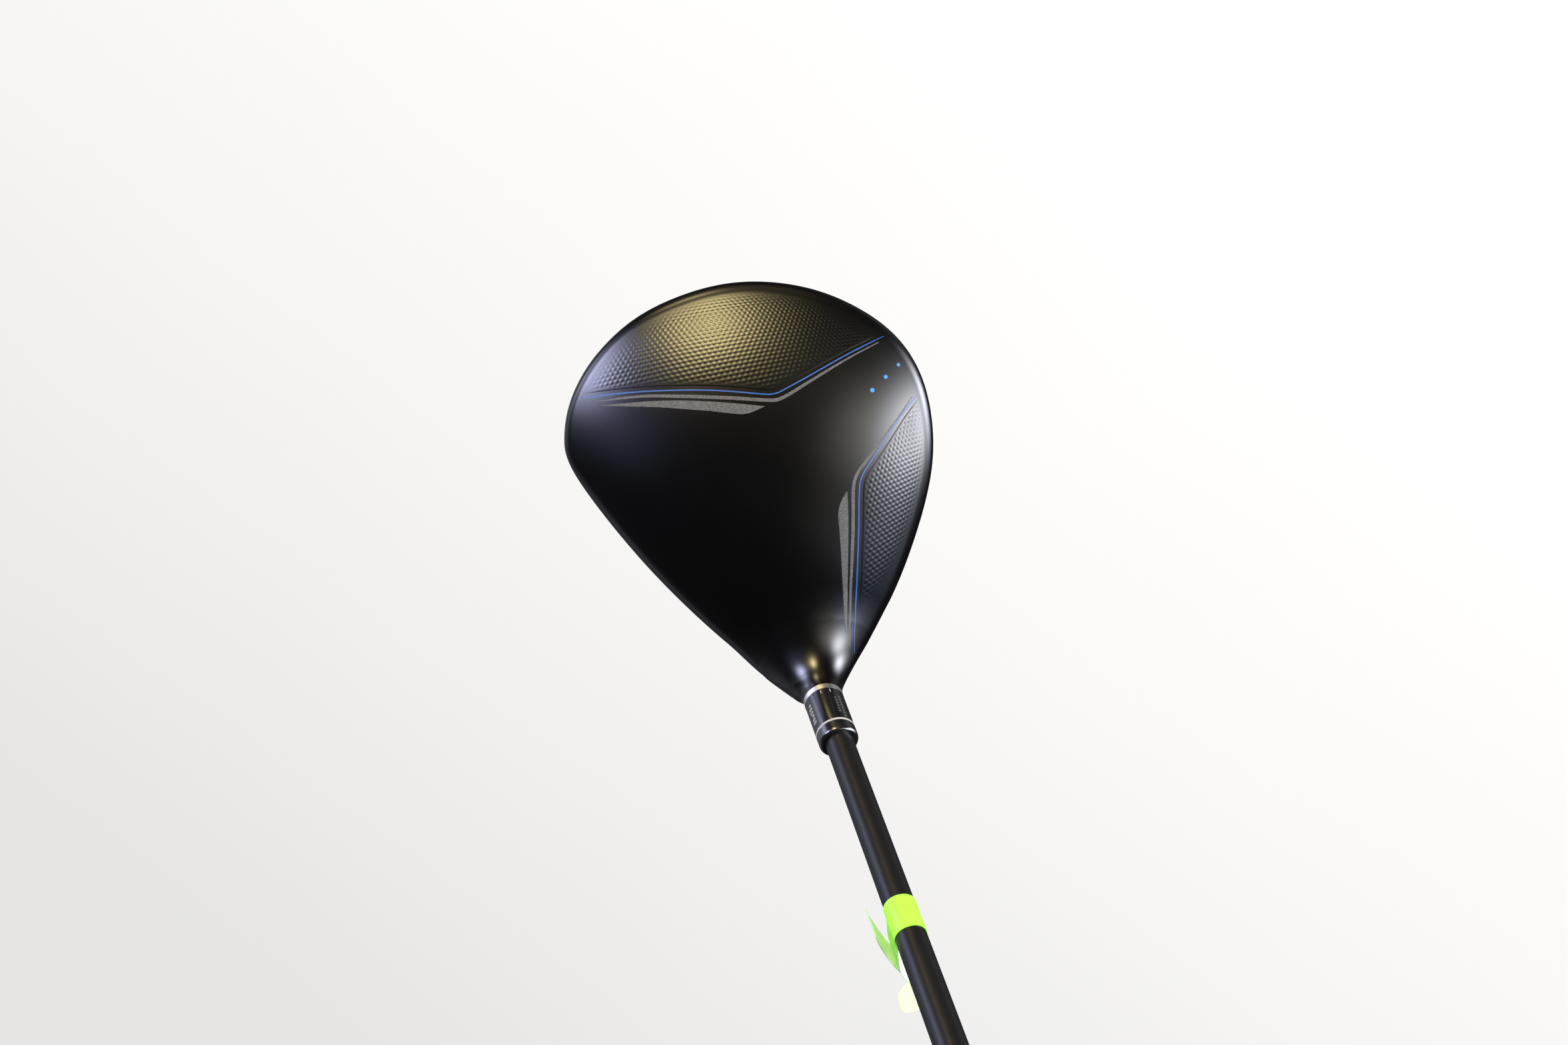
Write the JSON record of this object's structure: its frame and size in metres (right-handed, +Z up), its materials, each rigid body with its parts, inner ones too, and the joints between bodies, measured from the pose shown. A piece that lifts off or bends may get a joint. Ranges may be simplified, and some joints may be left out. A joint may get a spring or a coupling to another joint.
{
  "type": "golf driver",
  "caption": "Right-handed golf driver: hollow black head with a textured crown, adjustable loft sleeve with hosel screw, screw-in sole weight, graphite shaft and rubber grip.",
  "frame": {"origin": "centre of the small flat under the sole that the head rests on at address", "axes": "+X from heel to toe, +Y out of the face towards the target, +Z up; the shaft lies in a plane parallel to XZ at a lie of 59 degrees and leans towards -X"},
  "size_m": [0.6962, 0.1138, 1.0016],
  "materials": {
    "graphite": "satin charcoal paint over graphite",
    "grip_rubber": "matte moulded rubber",
    "grip_cap_rubber": "matte moulded rubber",
    "tape": "plain",
    "sleeve_black": "gloss black anodised",
    "ring_steel": "fine turned",
    "ferrule_plastic": "gloss",
    "ring_white": "gloss",
    "brass_plug": "turned",
    "neon_tape": "smooth neon film",
    "body_black": "satin black",
    "crown_black": "satin black with fine grain",
    "face_titanium": "brushed dark titanium",
    "slot_rubber": "matte",
    "hot_melt": "soft",
    "washer_steel": "zinc",
    "retainer_nylon": "nylon",
    "screw_steel": "black oxide",
    "o_ring_rubber": "matte",
    "weight_steel": "fine turned stainless"
  },
  "bodies": {
    "shaft_assembly": {"shaft": "graphite", "grip": "grip_rubber", "grip_cap": "grip_cap_rubber", "grip_tape": "tape", "loft_sleeve": "sleeve_black", "seat_ring": "ring_steel", "ferrule": "ferrule_plastic", "ferrule_ring": "ring_white", "tip_weight": "brass_plug", "shaft_label": "neon_tape"},
    "head": {"head_body": "body_black", "crown": "crown_black", "face_plate": "face_titanium", "slot_filler": "slot_rubber", "rattle_pad": "hot_melt", "screw_washer": "washer_steel", "screw_retainer": "retainer_nylon"},
    "hosel_screw": {"hosel_screw": "screw_steel"},
    "weight_seal": {"weight_o_ring": "o_ring_rubber"},
    "sole_weight": {"sole_weight": "weight_steel"}
  },
  "joints": [
    {"name": "head_release", "type": "slide", "parent": "shaft_assembly", "child": "head", "axis": [0.515, 0, -0.8572], "range_m": [0, 0.0104]},
    {"name": "hosel_screw_turn", "type": "hinge", "parent": "head", "child": "hosel_screw", "pos_m": [-0.03695, 0.0295, 0.02571], "axis": [0.515, 0, -0.8572], "range_deg": [0, 4680]},
    {"name": "weight_out", "type": "slide", "parent": "head", "child": "weight_seal", "axis": [0, -0.5, -0.866], "range_m": [0, 0.009]},
    {"name": "weight_turn", "type": "hinge", "parent": "weight_seal", "child": "sole_weight", "pos_m": [0.004, -0.0405, 0.01035], "axis": [0, -0.5, -0.866], "range_deg": [0, 3240]}
  ],
  "couplings": [
    {"joint": "hosel_screw_turn", "follows": "head_release", "rad_per_m": 7854},
    {"joint": "weight_turn", "follows": "weight_out", "rad_per_m": 6283.2}
  ]
}
